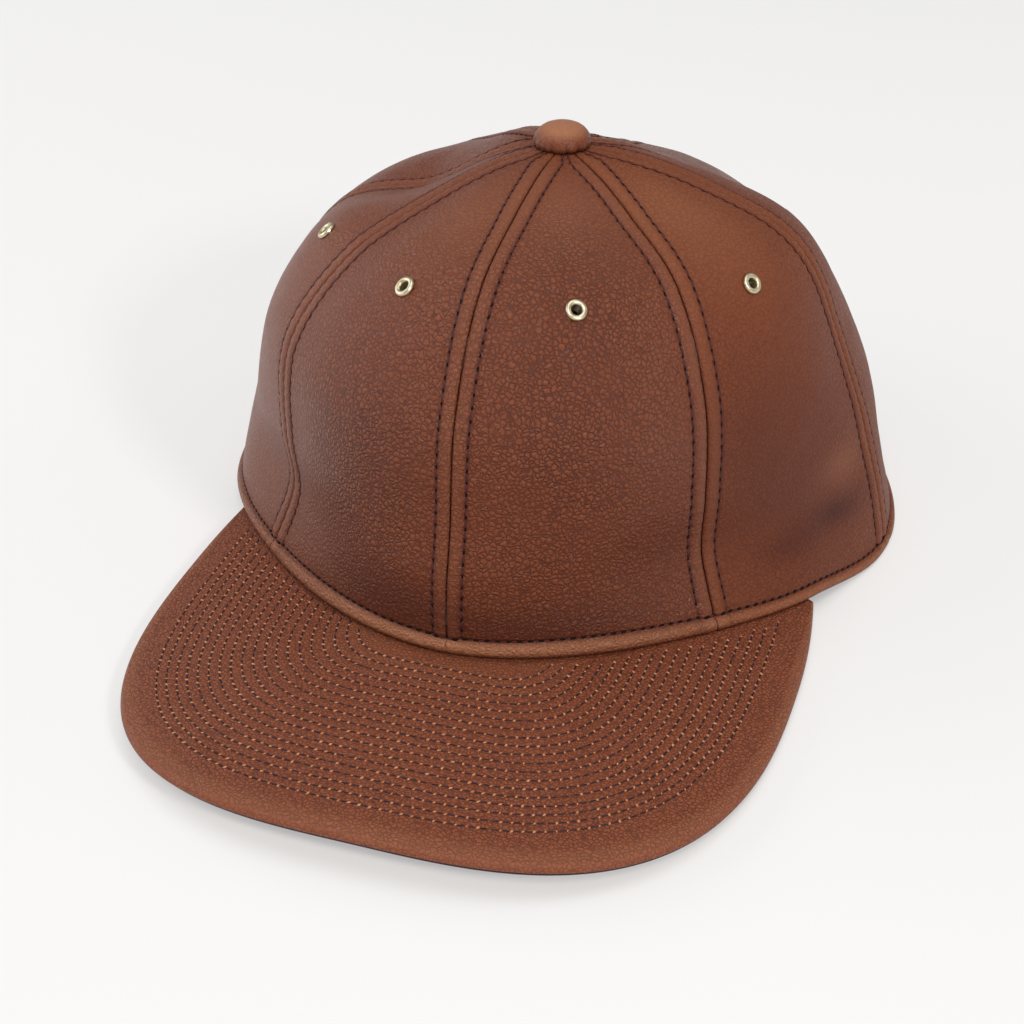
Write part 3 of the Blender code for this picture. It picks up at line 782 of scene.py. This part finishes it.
def oneStitch(bm, sides=8, rings=5):
    bmesh.ops.create_uvsphere(bm, u_segments=sides, v_segments=rings, radius=1)
    bmesh.ops.rotate(bm, verts=bm.verts, cent=(0, 0, 0), matrix=Matrix.Rotation(pi / 2, 3, "Y"))


def seatAlong(path, length):
    # point, normal and direction at a length along a path of (point, normal, length)
    k = 0
    while k < len(path) - 2 and path[k + 1][2] < length:
        k += 1
    share = (length - path[k][2]) / max(path[k + 1][2] - path[k][2], 1e-9)
    point = path[k][0].lerp(path[k + 1][0], share)
    normal = path[k][1].lerp(path[k + 1][1], share).normalized()
    return point, normal, (path[k + 1][0] - path[k][0]).normalized()


def stitchPlace(point, normal, along, size, slant=0.0, lift=0.0):
    # where one stitch goes: its length along the line, its thickness out of the leather
    across = normal.cross(along).normalized()
    along = across.cross(normal).normalized()
    turned = Matrix((along, across, normal)).transposed().to_4x4()
    slope = Matrix.Rotation(radians(slant), 4, "Z")
    scale = Matrix.Diagonal((size[0], size[1], size[2], 1))
    return Matrix.Translation(point + normal * lift) @ turned @ slope @ scale


def measured(points):
    # (point, normal) pairs as a path with lengths
    path, length = [], 0.0
    for k, (point, normal) in enumerate(points):
        if k:
            length += (point - points[k - 1][0]).length
        path.append((point, normal, length))
    return path


threadPlaces, holePlaces = [], []
rng = random.Random(5)
pitch = crown["stitch"]
for path, side in stitchLines:
    lean = threads["slant"] * (1 if side else -1)
    first = path[grooveRow][2] + pitch * 0.6
    count = int((path[-1][2] - first) / pitch)
    start = round(first / pitch) * pitch + pitch / 2          # holes lie in the hollows of the puckers
    for k in range(count):
        at = start + k * pitch
        point, normal, along = seatAlong(path, at)
        size = (threads["holeLength"] * rng.uniform(0.85, 1.15), threads["hole"] / 2, threads["holeDepth"])
        holePlaces.append(stitchPlace(point, normal, along, size, lean * 1.6, 0.00002))
        point, normal, along = seatAlong(path, at + pitch / 2)
        size = (pitch * threads["threadShare"], threads["crown"] / 2, threads["threadDepth"])
        threadPlaces.append(stitchPlace(point, normal, along, size, lean, 0.00005))
path = measured(hemLine + hemLine[:1])
pitch = threads["hemPitch"]
hemHole = (threads["hemHoleLength"], threads["hole"] * 0.6, threads["hemHoleDepth"])
hemThread = (pitch * threads["hemThreadShare"], threads["crown"] / 2, threads["hemThreadDepth"])
for k in range(int(path[-1][2] / pitch)):
    point, normal, along = seatAlong(path, (k + 0.5) * pitch)
    holePlaces.append(stitchPlace(point, normal, along, hemHole, 10, 0.0001))
    point, normal, along = seatAlong(path, min((k + 1) * pitch, path[-1][2]))
    threadPlaces.append(stitchPlace(point, normal, along, hemThread, 4, 0.0001))
bm = bmesh.new()
oneStitch(bm)
copiesOf(bm, threadPlaces)
newPiece("crownThread", bm, crownThread, [])
bm = bmesh.new()
oneStitch(bm, 8, 4)
copiesOf(bm, holePlaces)
newPiece("holeShadeBlobs", bm, holeShade, [])
print("crown stitching", len(threadPlaces), len(holePlaces))


def rimDistance(x, y):
    # how far outside the crown's foot a point lies
    bend = crown["squareness"] / 2
    turn = degrees(atan2(bent(x / crown["halfWidth"], bend), bent(-y / crown["halfLength"], bend)))
    return hypot(x, y) - rimPoint(turn).length


def rowPath(k):
    half, front, squareness = rowShape(k)
    points = []
    for step in range(-400, 401):
        angle = pi / 2 * step / 400
        x = half * bent(sin(angle), 2 / squareness)
        y = stitchRows["widest"] - (stitchRows["widest"] - front) * bent(cos(angle), 2 / squareness)
        points.append((x, y))
    back = [(half - stitchRows["tuck"] * (s / 20) ** 2, stitchRows["widest"] + 0.035 * s / 20) for s in range(1, 21)]
    points = [(-x, y) for x, y in reversed(back)] + points + back
    keep = [(x, y) for x, y in points if rimDistance(x, y) > 0.0008]
    spots = []
    for x, y in keep:
        z = brimSurface(x, y, k)
        slope = -2 * brim["arch"] * x / brim["halfWidth"] ** 2
        spots.append((Vector((x, y, z)), Vector((-slope, 0, 1)).normalized()))
    return measured(spots)


stitchPlaces, fleckPlaces = [], []
rng = random.Random(11)
pitch = stitchRows["pitch"]
for k in range(stitchRows["count"]):
    path = rowPath(k)
    long = rng.uniform(0.34, 0.42)
    start = rng.uniform(0.1, 0.9) * pitch
    for step in range(int((path[-1][2] - start) / pitch)):
        at = start + step * pitch
        point, normal, along = seatAlong(path, at)
        size = (pitch * long, stitchRows["thread"] / 2, stitchRows["threadDepth"])
        stitchPlaces.append(stitchPlace(point, normal, along, size, rng.uniform(-5, 5), stitchRows["threadLift"]))
        if rng.random() < flecks["share"] and at + pitch / 2 < path[-1][2]:
            point, normal, along = seatAlong(path, at + pitch / 2)
            grown = rng.uniform(*flecks["sizes"])
            size = (flecks["length"] * grown, flecks["width"] * grown, flecks["depth"])
            across = normal.cross(along).normalized()
            spot = point + across * rng.uniform(-flecks["astray"], flecks["astray"])
            fleckPlaces.append(stitchPlace(spot, normal, along, size, rng.uniform(*flecks["slants"]), flecks["lift"]))
bm = bmesh.new()
oneStitch(bm)
copiesOf(bm, stitchPlaces)
newPiece("brimThread", bm, brimThread, [])
bm = bmesh.new()
bmesh.ops.create_icosphere(bm, subdivisions=1, radius=1)
copiesOf(bm, fleckPlaces)
newPiece("brimHighlightFlecks", bm, fleckHighlight, [])
print("brim stitching", len(stitchPlaces), len(fleckPlaces))

# button and eyelets
button = {
    "radius": 0.0073, "height": 0.0052, "shank": 0.0028, "shankDepth": 0.0028, "steps": 96,
    "pleats": 17, "pleatDepth": 0.00022,
}


def turnedShape(bm, profile, steps):
    # a profile of (radius, height) spun about its own Z axis
    verts = [bm.verts.new((radius, 0, height)) for radius, height in profile]
    edges = [bm.edges.new(pair) for pair in zip(verts, verts[1:])]
    bmesh.ops.spin(bm, geom=verts + edges, cent=(0, 0, 0), axis=(0, 0, 1), dvec=(0, 0, 0), angle=2 * pi,
                   steps=steps, use_merge=True)
    bmesh.ops.remove_doubles(bm, verts=bm.verts, dist=0.000002)
    bmesh.ops.recalc_face_normals(bm, faces=bm.faces)


# the button's dome from its top down: radius and height as shares of its own
domeXs = [0, 0.2, 0.4, 0.56, 0.7, 0.8, 0.88, 0.94, 0.98, 1.0, 1.0, 0.985, 0.95]
domeYs = [1, 0.99, 0.955, 0.9, 0.81, 0.7, 0.57, 0.43, 0.3, 0.2, 0.12, 0.05, 0.0]
profile = [(button["radius"] * x, button["height"] * y) for x, y in zip(domeXs, domeYs)]
profile += [(button["shank"], 0.0), (button["shank"], -button["shankDepth"]), (0.0, -button["shankDepth"])]
bm = bmesh.new()
turnedShape(bm, profile, button["steps"])
buttonLayers = {name: bm.verts.layers.float.new(name) for name in ("grain", "stainAndShade", "wornAndSheen")}
for vert in bm.verts:
    radius, height = hypot(vert.co.x, vert.co.y), vert.co.z / button["height"]
    turn = atan2(vert.co.y, vert.co.x)
    if radius > button["shank"] * 1.1:
        uneven = turn + 0.12 * sin(3 * turn) + 0.07 * sin(7 * turn + 1)
        fold = 1 - abs(sin(button["pleats"] * uneven / 2))
        depth = button["pleatDepth"] * (1 - ease(0.1, 0.62, height)) * fold ** 2 * 2
        vert.co.x -= depth * cos(turn)
        vert.co.y -= depth * sin(turn)
        # painted shade low on the button and in its pleats
        vert[buttonLayers["stainAndShade"]] = 0.5 * (1 - ease(0.0, 0.35, height)) + 0.25 * depth / button["pleatDepth"]
    # painted highlight, paler towards the top
    vert[buttonLayers["wornAndSheen"]] = 0.85 * ease(0.45, 1.0, height)
    vert[buttonLayers["grain"]] = 0.25
bmesh.ops.translate(bm, verts=bm.verts, vec=(0, -crown["peakForward"], buttonHigh.z - button["height"]))
newPiece("crownButton", bm, crownLeather, ["button"])

eyelet = {"outer": 0.0026, "bore": 0.00125, "barrel": 0.0018, "metal": 0.00075, "back": 0.0030, "steps": 36}
ringProfile = []
middleRadius, halfRing = (eyelet["outer"] + eyelet["bore"]) / 2, (eyelet["outer"] - eyelet["bore"]) / 2
for step in range(13):
    angle = pi * step / 12
    ringProfile.append((middleRadius + halfRing * cos(angle), 0.0001 + eyelet["metal"] * sin(angle) ** 0.8))
ringProfile += [(eyelet["bore"], -eyelet["back"]), (eyelet["barrel"] + 0.0004, -eyelet["back"]),
                (eyelet["barrel"] + 0.0004, -eyelet["back"] + 0.0004), (eyelet["barrel"], -eyelet["back"] + 0.0004),
                (eyelet["barrel"], 0.0), (eyelet["outer"] - 0.0001, 0.0), (eyelet["outer"], 0.0001)]
for index, (middle, normal) in enumerate(eyeletSeats):
    bm = bmesh.new()
    turnedShape(bm, ringProfile, eyelet["steps"])
    stand = Matrix.Translation(middle + normal * 0.0001) @ normal.to_track_quat("Z", "Y").to_matrix().to_4x4()
    bmesh.ops.transform(bm, matrix=stand, verts=bm.verts)
    piece = newPiece(f"eyeletRing{index + 1}", bm, paleBrass, [f"eyelet_{index + 1}"])
    piece.data.set_sharp_from_angle(angle=radians(40))
print("button and eyelets")
